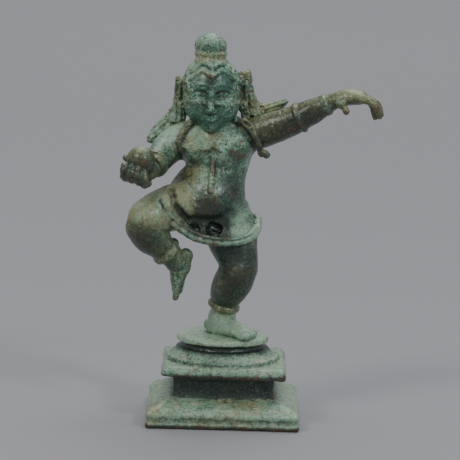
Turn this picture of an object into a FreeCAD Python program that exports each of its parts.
"""Small cast bronze of a dancing child deity with a butter ball, on a stepped pedestal.

Units are millimetres. The origin is the middle of the pedestal's underside, +Z is up, the figure
looks along -Y, and +X is on the left hand's side of the figure (the stretched arm).

The statue is a lost-wax casting. Its maker forms each piece below in wax on its own (pedestal
mouldings, limbs, hands, head, hair, cords and bands), joins them, and casts them together, so
the pieces meet face to face, and nothing on the finished statue moves.
"""

import FreeCAD, Part
import math
import os

from FreeCAD import Vector as V

# ---------------------------------------------------------------- driving dimensions
PLINTH_WIDTH = 40.8        # square foot of the pedestal, side to side
PLINTH_BAND = 4.1          # height of the upright band round the foot
PLINTH_HEIGHT = 7.2        # top of the sloping cushion
NECK_WIDTH = 27.0          # recessed block between foot and slab
SLAB_WIDTH = 33.4
SLAB_TOP = 15.9
SLAB_LOW_SIDE = 12.7       # underside of the slab on the right, the thicker side
SLAB_HIGH_SIDE = 13.5      # underside on the left
RING_RADIUS = 15.6         # lotus moulding on the slab
RING_TOP = 20.3
DISC_RADIUS = 12.5         # disc under the standing foot
DISC_TOP = 22.6
DISC_X = -0.5              # the disc sits a little off the plinth's middle
TOP = 103.8                # top of the topknot
WAIST_Z = 67.8             # chest and abdomen meet here
CORNER = 0.9               # rounding of the pedestal's upright corners

UP = V(0, 0, 1)
RIGHT = V(1, 0, 0)
FRONT = V(0, -1, 0)
OUTLINE_POINTS = 12        # points in each closed cross-section
ROUND_STEPS = (0.45, 0.75, 0.93)   # where a rounded end's extra sections stand, in end radii


# ---------------------------------------------------------------- shape helpers
def unit(vector):
    """The vector's direction, one millimetre long."""
    copy = V(vector)
    copy.normalize()
    return copy


def outline(centre, along, side, half_width, front, back):
    """Closed smooth section square to along, half_width either way of side, front and back apart."""
    axis = unit(along)
    across = unit(side - axis * side.dot(axis))
    outward = across.cross(axis)
    points = []
    for i in range(OUTLINE_POINTS):
        angle = 2 * math.pi * i / OUTLINE_POINTS
        depth = front if math.sin(angle) > 0 else back
        points.append(centre + across * half_width * math.cos(angle) + outward * depth * math.sin(angle))
    curve = Part.BSplineCurve()
    curve.interpolate(Points=points, PeriodicFlag=True)
    return Part.Wire([curve.toShape()])


def sizes(station):
    """(half width, front, back) of a station (point, half width[, front[, back]])."""
    half_width = station[1]
    front = station[2] if len(station) > 2 else half_width
    back = station[3] if len(station) > 3 else front
    return half_width, front, back


def end_cap(station, outward, side, heading=None):
    """Shrinking sections that round an end off, from the end station outwards."""
    half_width, front, back = sizes(station)
    reach = min(half_width, (front + back) / 2)
    wires = []
    for step in ROUND_STEPS:
        shrink = math.sqrt(1 - step * step)
        wires.append(outline(station[0] + outward * reach * step, heading or outward, side,
                             half_width * shrink, front * shrink, back * shrink))
    return wires


def tube(stations, side=RIGHT, start="flat", end="flat", along=None):
    """Solid through the stations' sections, each square to the line, or to along where that is given."""
    centres = [s[0] for s in stations]
    last = len(centres) - 1
    wires = []
    for i, station in enumerate(stations):
        heading = along or unit(centres[min(i + 1, last)] - centres[max(i - 1, 0)])
        wires.append(outline(station[0], heading, side, *sizes(station)))
    if start == "round":
        heading = along or unit(centres[1] - centres[0])
        wires = end_cap(stations[0], heading * -1, side, heading)[::-1] + wires
    if end == "round":
        wires += end_cap(stations[last], along or unit(centres[last] - centres[last - 1]), side)
    return Part.makeLoft(wires, True, False)


def limb(stations, first=0, last=None, side=RIGHT, start="flat", end="flat"):
    """Part of a limb: its sections lean as the whole limb's line does, so that neighbours match."""
    last = len(stations) - 1 if last is None else last
    centres = [s[0] for s in stations]
    wires = []
    for i in range(first, last + 1):
        heading = unit(centres[min(i + 1, len(centres) - 1)] - centres[max(i - 1, 0)])
        wires.append(outline(centres[i], heading, side, *sizes(stations[i])))
    if start == "round":
        heading = unit(centres[first + 1] - centres[first])
        wires = end_cap(stations[first], heading * -1, side, heading)[::-1] + wires
    if end == "round":
        wires += end_cap(stations[last], unit(centres[last] - centres[last - 1]), side)
    return Part.makeLoft(wires, True, False)


def rod(points, radii, side=RIGHT):
    """Round-ended tube through points, with a radius at each, as a finger or a cord has."""
    return tube([(p, r) for p, r in zip(points, radii)], side, start="round", end="round")


def turned(profile, x=0.0, y=0.0):
    """Solid of revolution about an upright axis, from (radius, height) points joined in order."""
    corners = [V(r, 0, z) for r, z in profile]
    face = Part.Face(Part.makePolygon(corners + corners[:1]))
    solid = face.revolve(V(0, 0, 0), UP, 360)
    solid.translate(V(x, y, 0))
    return solid


def rounded_square(width, z, corner=CORNER):
    """Square wire with arc corners, level at height z."""
    h, c = width / 2, corner
    turn = c * (1 - math.sqrt(0.5))
    edges = []
    for k in range(4):
        spin = FreeCAD.Rotation(UP, 90 * k)
        place = lambda x, y: spin.multVec(V(x, y, z))
        edges.append(Part.LineSegment(place(h, -h + c), place(h, h - c)).toShape())
        edges.append(Part.Arc(place(h, h - c), place(h - turn, h - turn), place(h - c, h)).toShape())
    return Part.Wire(edges)


def stacked(levels, corner=CORNER):
    """Ruled solid through rounded squares, from (width, height) pairs, lowest first."""
    return Part.makeLoft([rounded_square(w, z, corner) for w, z in levels], True, True)


def fused(shapes):
    """One solid out of shapes that overlap."""
    return shapes[0].multiFuse(shapes[1:])


# ---------------------------------------------------------------- pedestal
def plinth_base():
    """Upright foot band: a lip, a groove and a fillet all round."""
    w = PLINTH_WIDTH
    return stacked([(w - 0.6, 0), (w, 0.4), (w, 1.2), (w - 0.9, 1.5), (w - 0.9, 2.6),
                    (w - 0.1, 2.9), (w - 0.1, 3.6), (w - 0.6, PLINTH_BAND)])


def plinth_cushion():
    """Sloping moulding from the band up to the neck, a little bellied."""
    rise = PLINTH_HEIGHT - PLINTH_BAND
    inner = NECK_WIDTH + 1.2
    run = PLINTH_WIDTH - 0.6 - inner
    return stacked([(PLINTH_WIDTH - 0.6, PLINTH_BAND), (inner + 0.78 * run, PLINTH_BAND + 0.34 * rise),
                    (inner + 0.38 * run, PLINTH_BAND + 0.72 * rise), (inner, PLINTH_HEIGHT)], CORNER)


def under_slab():
    """Everything below the slab's leaning underside."""
    reach = SLAB_WIDTH
    lean = (SLAB_HIGH_SIDE - SLAB_LOW_SIDE) / SLAB_WIDTH
    low = SLAB_LOW_SIDE - lean * (reach - SLAB_WIDTH / 2)
    high = SLAB_HIGH_SIDE + lean * (reach - SLAB_WIDTH / 2)
    corners = [V(-reach, -reach, 0), V(reach, -reach, 0), V(reach, -reach, low), V(-reach, -reach, high)]
    return Part.Face(Part.makePolygon(corners + corners[:1])).extrude(V(0, 2 * reach, 0))


def pedestal_neck():
    """Recessed block with a sunk panel between the corner pilasters of each side."""
    block = stacked([(NECK_WIDTH, PLINTH_HEIGHT), (NECK_WIDTH, SLAB_TOP)], 0.6).common(under_slab())
    pilaster, sunk = 2.3, 0.5
    panel_width = NECK_WIDTH - 2 * pilaster
    panel_height = SLAB_LOW_SIDE - PLINTH_HEIGHT - 1.6
    for k in range(4):
        panel = Part.makeBox(panel_width, sunk, panel_height,
                             V(-panel_width / 2, -NECK_WIDTH / 2, PLINTH_HEIGHT + 0.8))
        panel.rotate(V(0, 0, 0), UP, 90 * k)
        block = block.cut(panel)
    return block


def pedestal_slab():
    """Upper slab with a thin lip under it and a rounded shoulder."""
    w = SLAB_WIDTH
    block = stacked([(w - 0.4, SLAB_LOW_SIDE - 1), (w, SLAB_LOW_SIDE + 0.5), (w - 0.1, SLAB_LOW_SIDE + 1.5),
                     (w - 0.5, SLAB_TOP - 0.9), (w - 1.3, SLAB_TOP - 0.3), (w - 2.6, SLAB_TOP)], 1.6)
    return block.cut(under_slab())


def lotus_ring():
    """Bell-shaped moulding, wide at the slab and narrow under the disc."""
    r = RING_RADIUS
    return turned([(0, SLAB_TOP), (r - 0.3, SLAB_TOP), (r, SLAB_TOP + 0.35), (r - 0.4, SLAB_TOP + 0.8),
                   (r - 1.6, SLAB_TOP + 1.35), (r - 2.7, SLAB_TOP + 2.2), (r - 3.4, SLAB_TOP + 3.3),
                   (r - 4.1, RING_TOP), (0, RING_TOP)], DISC_X)


def lotus_disc():
    """Disc with a thick rolled rim."""
    r = DISC_RADIUS
    return turned([(0, RING_TOP), (r - 1.1, RING_TOP), (r - 0.3, RING_TOP + 0.4), (r, RING_TOP + 1.0),
                   (r - 0.25, RING_TOP + 1.6), (r - 0.9, RING_TOP + 2.0), (r - 2.0, DISC_TOP),
                   (0, DISC_TOP)], DISC_X)


# ---------------------------------------------------------------- trunk, neck and head
CHEST_STATIONS = [
    (V(-3.4, 0, WAIST_Z), 8.5, 6.5, 5.8),
    (V(-3.2, 0, 70.2), 9.0, 6.8, 6.0),
    (V(-3.3, 0, 72.8), 9.7, 7.0, 6.2),
    (V(-3.4, 0, 75.4), 9.4, 6.3, 6.2),
    (V(-3.7, 0, 77.6), 7.9, 5.2, 5.6),
    (V(-4.2, 0, 79.2), 5.3, 4.0, 4.4),
]
ABDOMEN_STATIONS = [
    (V(-1.0, 0.6, 50.2), 4.6, 4.2, 4.6),
    (V(-1.6, 0.4, 52.2), 7.4, 6.2, 6.8),
    (V(-3.0, 0.2, 54.6), 9.0, 7.6, 7.6),
    (V(-4.8, 0, 57.6), 9.8, 8.9, 7.4),
    (V(-5.8, 0, 61.0), 10.1, 9.4, 6.8),
    (V(-5.2, 0, 64.6), 9.5, 8.1, 6.1),
    CHEST_STATIONS[0],
]
HEAD_STATIONS = [
    (V(-4.9, -3.3, 80.4), 3.6, 3.2, 3.6),
    (V(-5.0, -2.0, 82.6), 5.7, 5.0, 5.2),
    (V(-5.1, -1.0, 85.2), 6.9, 6.4, 6.4),
    (V(-5.2, -0.5, 88.2), 7.3, 7.0, 7.2),
    (V(-5.3, -0.2, 91.2), 7.1, 6.9, 7.2),
    (V(-5.4, 0.0, 93.8), 6.0, 6.0, 6.2),
    (V(-5.6, 0.1, 95.7), 4.5, 4.6, 4.8),
]


def chest():
    """Upper trunk, from the waist to the root of the neck."""
    return tube(CHEST_STATIONS, end="flat", along=UP)


def abdomen():
    """Round belly and hips, down to the crotch."""
    return tube(ABDOMEN_STATIONS, start="flat", along=UP)


def neck():
    """Short neck, with a soft crease under the chin."""
    return tube([(V(-4.3, 0.2, 78.4), 4.7, 4.1), (V(-4.5, 0.0, 80.6), 3.9, 3.7), (V(-4.8, 0.1, 84.0), 4.0, 4.0)])


def head():
    """Egg-shaped head, chin forward, made plain here: the face is carved on it afterwards."""
    return tube(HEAD_STATIONS, start="round", end="flat", along=UP)


def hair_cap():
    """Close hair over the skull, from the brow's hairline back to the nape."""
    grow = 0.6
    shell = tube([(p, w + grow, f + grow, b + grow) for p, w, f, b in HEAD_STATIONS[2:]], along=UP)
    face_side = Part.makeBox(40, 30, 40, V(-20, -30, -20))
    face_side.rotate(V(0, 0, 0), RIGHT, -33)
    face_side.translate(V(-5.2, -3.3, 92.4))
    return shell.cut(face_side)


def topknot_band():
    """Cord wound round the foot of the topknot."""
    return tube([(V(-5.6, 0.1, 95.7), 4.0), (V(-5.65, 0.1, 96.4), 4.45), (V(-5.7, 0.1, 97.2), 4.0),
                 (V(-5.75, 0.1, 98.0), 4.35), (V(-5.8, 0.1, 98.7), 3.95)], along=UP)


def topknot():
    """Domed bun on top of the head."""
    return tube([(V(-5.8, 0.1, 98.7), 3.95), (V(-5.85, 0.1, 100.0), 4.3), (V(-5.9, 0.1, 101.2), 4.1),
                 (V(-5.9, 0.1, 102.4), 3.2), (V(-5.9, 0.1, 103.3), 1.9), (V(-5.9, 0.1, TOP), 0.6)], along=UP)


def forehead_jewel():
    """Drop that hangs from the middle of the hairline."""
    return rod([V(-5.1, -6.4, 93.2), V(-5.1, -6.9, 92.0)], [0.55, 0.75])


def ear(line):
    """Long ear with a heavy lobe."""
    return tube([(line[0], 0.9, 0.8), (line[1], 1.2, 1.1), (line[2], 1.0, 1.0), (line[3], 1.25, 1.2)],
                start="round", end="round")


def side_locks(line, widths):
    """Matted hair that falls from behind an ear onto the shoulder, flat from front to back."""
    return tube([(p, w, 1.2) for p, w in zip(line, widths)], start="round", end="round")


def shoulder_locks(line, widths, heights):
    """Locks spread over the back of a shoulder."""
    return tube([(p, w, h) for p, w, h in zip(line, widths, heights)], side=V(0, 1, 0),
                start="round", end="round")


def back_locks():
    """Comb of four locks down the nape."""
    locks = []
    for k in range(4):
        x = -8.2 + 2.1 * k
        locks.append(rod([V(x * 0.9 - 0.5, 6.2, 87.5), V(x, 5.8, 83.6), V(x, 5.6, 79.6), V(x, 6.4, 76.2)],
                         [1.2, 1.25, 1.15, 0.8]))
    return fused(locks)


LEFT_EAR_LINE = [V(2.6, 0.0, 91.6), V(2.9, -0.2, 89.2), V(3.0, -0.3, 86.6), V(3.3, -0.3, 84.6)]
RIGHT_EAR_LINE = [V(-12.9, 0.0, 91.0), V(-13.1, -0.2, 88.8), V(-13.0, -0.3, 86.4), V(-13.1, -0.3, 84.4)]
LEFT_LOCK_LINE = [V(3.9, 1.8, 92.8), V(4.2, 1.8, 90.0), V(4.7, 1.8, 87.0), V(5.7, 1.6, 84.0), V(7.0, 1.2, 81.4)]
RIGHT_LOCK_LINE = [V(-14.0, 1.8, 90.8), V(-13.9, 1.8, 88.0), V(-13.9, 1.8, 85.2), V(-14.4, 1.6, 82.4), V(-15.2, 1.2, 80.2)]
LOCK_WIDTHS = [1.2, 1.4, 1.6, 2.1, 2.6]
LEFT_SHOULDER_LINE = [V(6.8, 2.6, 82.0), V(9.2, 3.0, 82.7), V(12.0, 3.1, 83.7), V(14.4, 3.2, 85.5)]
RIGHT_SHOULDER_LINE = [V(-14.4, 1.8, 80.6), V(-17.2, 2.0, 78.8), V(-19.8, 1.8, 76.6), V(-21.4, 1.2, 74.4)]
SHOULDER_LOCK_WIDTHS = [1.2, 1.4, 1.2, 0.8]
SHOULDER_LOCK_HEIGHTS = [2.6, 2.3, 1.7, 0.8]


# ---------------------------------------------------------------- arms
# each station: (point, half width[, half depth]); a limb's pieces share the station they meet at
LEFT_ARM = [
    (V(3.2, 0.4, 76.2), 4.6), (V(7.2, 0.0, 77.2), 4.5), (V(11.6, -0.8, 78.8), 4.3),
    (V(15.0, -1.5, 80.3), 4.1), (V(18.2, -2.1, 81.8), 3.8), (V(21.2, -2.8, 83.4), 3.45),
    (V(24.2, -3.4, 85.1), 2.9), (V(26.8, -3.9, 86.5), 2.45),
]
LEFT_ELBOW = 3             # the station where upper arm and forearm meet
RIGHT_ARM = [
    (V(-8.4, 0.4, 75.8), 4.6), (V(-11.6, 0.2, 75.2), 4.6), (V(-14.8, -0.4, 73.8), 4.5), (V(-16.9, -2.0, 72.2), 4.2),
    (V(-18.0, -4.4, 71.1), 3.9), (V(-18.8, -7.0, 70.2), 3.55), (V(-19.6, -9.6, 69.5), 3.2), (V(-20.4, -12.2, 69.0), 2.8),
]
RIGHT_ELBOW = 3
BALL_CENTRE = V(-23.2, -17.0, 71.1)
BALL_RADIUS = 3.85


def bracelet(stations, at, offset, thickness, coils=1):
    """Wax coils laid round a limb side by side, the first one offset along it from station at."""
    last = len(stations) - 1
    heading = unit(stations[min(at + 1, last)][0] - stations[max(at - 1, 0)][0])
    rings = []
    for k in range(coils):
        centre = stations[at][0] + heading * (offset + 1.5 * thickness * k)
        rings.append(Part.makeTorus(stations[at][1] + 0.1, thickness, centre, heading))
    return rings[0] if coils == 1 else fused(rings)


def left_hand():
    """Hand held out level and drooping, thumb down, fingers side by side."""
    wrist = LEFT_ARM[-1][0]
    palm = tube([(wrist, 2.4, 2.4), (V(29.2, -4.3, 87.5), 2.2, 2.8), (V(31.8, -4.6, 88.1), 2.2, 3.2),
                 (V(34.4, -4.9, 88.1), 1.9, 3.1)], side=UP, end="round")
    fingers = []
    for k, (y, reach) in enumerate([(-7.1, 0.0), (-5.6, 0.9), (-4.1, 0.6), (-2.7, -0.9)]):
        fingers.append(rod([V(33.2, y, 88.2), V(36.0 + 0.4 * reach, y, 87.6), V(38.2 + 0.7 * reach, y, 86.1),
                            V(39.2 + 0.7 * reach, y, 84.1 - 0.5 * k)], [1.25, 1.2, 1.05, 0.8], side=FRONT))
    thumb = rod([V(28.7, -6.0, 87.0), V(29.8, -7.0, 85.8), V(30.6, -7.5, 84.4)], [1.5, 1.3, 0.9])
    return fused([palm] + fingers + [thumb])


def right_hand():
    """Open hand under the butter ball, with the fingers curled up in front of it."""
    wrist = RIGHT_ARM[-1][0]
    palm = tube([(wrist, 2.7, 2.5), (V(-22.0, -14.8, 67.6), 3.1, 1.9), (V(-23.6, -17.4, 66.9), 3.2, 1.4),
                 (V(-24.4, -19.0, 66.8), 2.9, 1.2)], end="round")
    fingers = []
    for x, y, z in [(-27.5, -18.9, 69.9), (-25.8, -20.4, 69.7), (-24.0, -21.0, 69.0), (-22.3, -20.7, 68.0)]:
        fingers.append(rod([V(x + 1.1, y + 3.4, z - 2.9), V(x + 0.1, y + 0.3, z - 2.6), V(x + 0.1, y + 0.1, z)],
                           [1.15, 1.15, 0.75], side=FRONT))
    thumb = rod([V(-24.0, -13.8, 67.9), V(-26.5, -14.4, 69.4), V(-27.3, -15.6, 71.6)], [1.1, 1.0, 0.8], side=FRONT)
    return fused([palm] + fingers + [thumb])


def butter_ball():
    return Part.makeSphere(BALL_RADIUS, BALL_CENTRE)


# ---------------------------------------------------------------- legs
STANDING_LEG = [
    (V(-0.2, 0.4, 54.0), 6.4, 6.4), (V(0.8, 0.1, 50.6), 7.0, 6.8), (V(1.7, -0.9, 47.2), 6.6, 6.3),
    (V(2.6, -2.1, 44.2), 5.8, 5.6), (V(3.1, -2.8, 41.2), 5.3, 5.1), (V(2.5, -2.2, 38.4), 5.3, 5.1),
    (V(1.2, -1.0, 35.6), 5.15, 5.1), (V(0.1, 0.1, 32.6), 4.5, 4.5), (V(-0.4, 0.6, 30.2), 3.5, 3.5),
]
STANDING_KNEE = 4
RAISED_THIGH = [
    (V(-6.2, -0.6, 56.6), 6.4), (V(-10.4, -4.2, 57.3), 6.6), (V(-14.6, -7.8, 57.4), 6.3),
    (V(-18.4, -10.9, 56.6), 5.7), (V(-21.2, -13.0, 55.3), 5.3),
]
RAISED_SHIN = [
    (V(-22.2, -13.5, 53.4), 4.9), (V(-20.9, -12.6, 50.9), 4.8), (V(-19.2, -11.4, 49.0), 4.5),
    (V(-17.4, -10.2, 47.2), 3.8), (V(-15.8, -9.2, 45.6), 3.2),
]


def standing_foot():
    """Plump foot flat on the disc, turned out to the figure's left."""
    ankle = STANDING_LEG[-1][0]
    leg = tube([(ankle, 3.4, 3.4), (V(-0.7, 0.9, 27.6), 3.5, 3.6), (V(-0.9, 1.0, 24.6), 3.9, 4.0),
                (V(-0.9, 1.0, DISC_TOP), 3.9, 4.0)])
    heel, toe = V(-3.4, 3.2, 24.3), V(5.4, -6.6, 23.9)
    step = toe - heel
    sole = tube([(heel, 2.9, 1.9), (heel + step * 0.35, 3.2, 2.9), (heel + step * 0.7, 3.6, 2.0),
                 (toe, 3.5, 1.4)], side=V(1, 1, 0), start="round", end="round")
    across = unit(V(1, 1, 0))
    toes = []
    for k in range(5):
        tip = toe + unit(step) * (2.8 - 0.25 * k * k * 0.5) + across * (1.45 * k - 2.7) - UP * 0.35
        toes.append(rod([tip - unit(step) * 2.4, tip], [1.0 - 0.06 * k, 0.95 - 0.07 * k], side=UP))
    floor = Part.makeBox(40, 40, 10, V(-20, -20, DISC_TOP - 10))
    return fused([leg, sole] + toes).cut(floor)


def raised_foot():
    """Foot that hangs from the ankle, toes down, heel towards the middle."""
    ankle = RAISED_SHIN[-1][0]
    instep = tube([(ankle, 3.0, 3.0), (V(-14.4, -8.6, 44.2), 3.0, 3.0), (V(-13.4, -8.3, 42.6), 2.8, 2.8)],
                  end="round")
    heel, toe = V(-10.9, -7.4, 44.6), V(-13.0, -8.9, 35.6)
    step = toe - heel
    sole = tube([(heel, 1.9, 2.0), (heel + step * 0.25 + V(-0.9, 0, 0), 2.9, 2.2),
                 (heel + step * 0.55 + V(-0.8, 0, 0), 2.4, 2.5), (toe, 1.5, 2.6)], start="round", end="round")
    toes = []
    for k in range(5):
        tip = toe + unit(step) * (1.8 - 0.12 * k * k) + V(0, 1.25 * k - 2.3, 0)
        toes.append(rod([tip - unit(step) * 2.2, tip], [0.95 - 0.05 * k, 0.85 - 0.06 * k]))
    return fused([instep, sole] + toes)


# ---------------------------------------------------------------- dress and cords
HEM_FRONT = [
    V(-19.0, -14.4, 60.6), V(-17.8, -15.5, 58.3), V(-15.6, -15.1, 55.8), V(-13.4, -13.9, 53.4),
    V(-11.2, -12.3, 51.7), V(-8.4, -10.9, 50.0), V(-5.0, -10.0, 49.0), V(-0.6, -9.4, 48.6),
    V(3.6, -8.1, 49.0), V(6.7, -5.6, 50.2), V(8.1, -1.4, 52.2),
]
HEM_BACK = [
    HEM_FRONT[-1], V(8.2, 2.8, 53.4), V(6.1, 6.7, 54.0), V(1.8, 8.8, 54.1), V(-3.4, 8.9, 54.4),
    V(-8.2, 7.2, 54.8), V(-12.0, 3.4, 54.8), V(-13.6, -1.4, 55.4),
]
HEM_RADIUS = 1.05
HEM_SIDE = V(0.2, 0.3, 1)


def hem(points, start, end):
    """Rolled edge of the short waist cloth."""
    return tube([(p, HEM_RADIUS) for p in points], side=HEM_SIDE, start=start, end=end)


def waist_cloth():
    """Short cloth from the hips down to the hem, hollow between belly and hem."""
    return tube([(V(0.0, 0.2, 48.8), 8.0, 8.8, 7.6), (V(-0.6, 0.2, 50.4), 8.6, 8.4, 8.0),
                 (V(-1.8, 0.2, 52.6), 9.2, 7.6, 8.2), (V(-3.2, 0.1, 55.2), 9.5, 7.4, 7.9),
                 (V(-4.4, 0.0, 57.4), 9.5, 7.5, 7.5)], along=UP)


def front_pleat():
    """Bunched end of the cloth that falls from the belly to the hem."""
    return rod([V(-6.9, -7.2, 54.2), V(-6.7, -8.2, 52.4), V(-6.4, -9.2, 50.4)], [1.2, 1.2, 1.0])


def back_knot():
    """Tie of the waist cloth at the back."""
    return rod([V(-5.6, 6.6, 58.6), V(-3.2, 8.0, 57.8), V(-0.8, 7.2, 58.6)], [0.9, 1.3, 0.9], side=UP)


def cord(points, radius):
    """Applied cord, round in section."""
    return rod(points, [radius] * len(points), side=V(0.3, 0.2, 1))


MEDIAN_LINE = [V(-4.2, -7.0, 73.4), V(-4.3, -7.0, 71.0), V(-4.4, -6.9, 68.4), V(-4.6, -7.9, 65.2), V(-4.8, -9.1, 62.6)]
LEFT_CORD_LINE = [V(3.4, -3.4, 80.6), V(5.4, -4.2, 78.6), V(6.9, -4.6, 76.2), V(7.8, -4.5, 73.9), V(8.3, -4.2, 72.2)]
RIGHT_CORD_LINE = [V(-10.8, -3.2, 79.8), V(-12.2, -4.2, 77.8), V(-13.2, -4.7, 75.4), V(-13.3, -4.6, 72.8)]
NAVEL = V(-4.9, -9.3, 61.1)


# ---------------------------------------------------------------- assembly
def pieces():
    """Whole pieces by node name, foremost first: a later piece is cut back to the earlier ones."""
    leg_side = V(0.62, -0.78, 0)
    last_arm = len(RIGHT_ARM) - 1
    return [
        ("plinth_base", plinth_base()),
        ("plinth_cushion", plinth_cushion()),
        ("pedestal_neck", pedestal_neck()),
        ("pedestal_slab", pedestal_slab()),
        ("lotus_ring", lotus_ring()),
        ("lotus_disc", lotus_disc()),
        ("chest", chest()),
        ("abdomen", abdomen()),
        ("head", head()),
        ("neck", neck()),
        ("hair_cap", hair_cap()),
        ("topknot_band", topknot_band()),
        ("topknot", topknot()),
        ("left_upper_arm", limb(LEFT_ARM, 0, LEFT_ELBOW, UP)),
        ("left_forearm", limb(LEFT_ARM, LEFT_ELBOW, len(LEFT_ARM) - 1, UP)),
        ("left_hand", left_hand()),
        ("right_upper_arm", limb(RIGHT_ARM, 0, RIGHT_ELBOW, UP)),
        ("right_forearm", limb(RIGHT_ARM, RIGHT_ELBOW, last_arm, UP)),
        ("butter_ball", butter_ball()),
        ("right_hand", right_hand()),
        ("raised_thigh", limb(RAISED_THIGH, side=leg_side, start="round", end="round")),
        ("raised_shin", limb(RAISED_SHIN, side=leg_side, start="round")),
        ("raised_foot", raised_foot()),
        ("standing_thigh", limb(STANDING_LEG, 0, STANDING_KNEE)),
        ("standing_shin", limb(STANDING_LEG, STANDING_KNEE, len(STANDING_LEG) - 1)),
        ("standing_foot", standing_foot()),
        ("left_elbow_band", bracelet(LEFT_ARM, 4, 0.0, 0.4, 2)),
        ("left_bracelet", bracelet(LEFT_ARM, 7, -2.2, 0.5, 2)),
        ("right_bracelet", bracelet(RIGHT_ARM, 6, -0.2, 0.5, 2)),
        ("standing_anklet", bracelet(STANDING_LEG, 8, 0.2, 0.9)),
        ("raised_anklet", bracelet(RAISED_SHIN, 4, -0.7, 1.0)),
        ("waist_hem_front", hem(HEM_FRONT, "flat", "flat")),
        ("waist_hem_back", hem(HEM_BACK, "flat", "flat")),
        ("waist_cloth", waist_cloth()),
        ("front_pleat", front_pleat()),
        ("back_knot", back_knot()),
        ("chest_cord", cord(MEDIAN_LINE, 0.55)),
        ("navel_boss", Part.makeSphere(0.95, NAVEL)),
        ("left_shoulder_cord", cord(LEFT_CORD_LINE, 1.0)),
        ("right_shoulder_cord", cord(RIGHT_CORD_LINE, 0.95)),
        ("forehead_jewel", forehead_jewel()),
        ("left_ear", ear(LEFT_EAR_LINE)),
        ("right_ear", ear(RIGHT_EAR_LINE)),
        ("left_side_locks", side_locks(LEFT_LOCK_LINE, LOCK_WIDTHS)),
        ("right_side_locks", side_locks(RIGHT_LOCK_LINE, LOCK_WIDTHS)),
        ("left_shoulder_locks", shoulder_locks(LEFT_SHOULDER_LINE, SHOULDER_LOCK_WIDTHS, SHOULDER_LOCK_HEIGHTS)),
        ("right_shoulder_locks", shoulder_locks(RIGHT_SHOULDER_LINE, SHOULDER_LOCK_WIDTHS, SHOULDER_LOCK_HEIGHTS)),
        ("back_locks", back_locks()),
    ]


def assemble():
    """Every piece by node name, cut so that neighbours meet face to face and none overlap."""
    made = {}
    for name, shape in pieces():
        for earlier in made.values():
            if shape.BoundBox.intersect(earlier.BoundBox):
                shape = shape.cut(earlier)
        made[name] = max(shape.Solids, key=lambda solid: solid.Volume)
    return made


def main():
    os.makedirs("parts", exist_ok=True)
    for name, shape in assemble().items():
        shape.exportStep("parts/" + name + ".step")
        print(f"{name:22s} valid {shape.isValid()} faces {len(shape.Faces)} volume {shape.Volume:9.2f} mm3")


main()
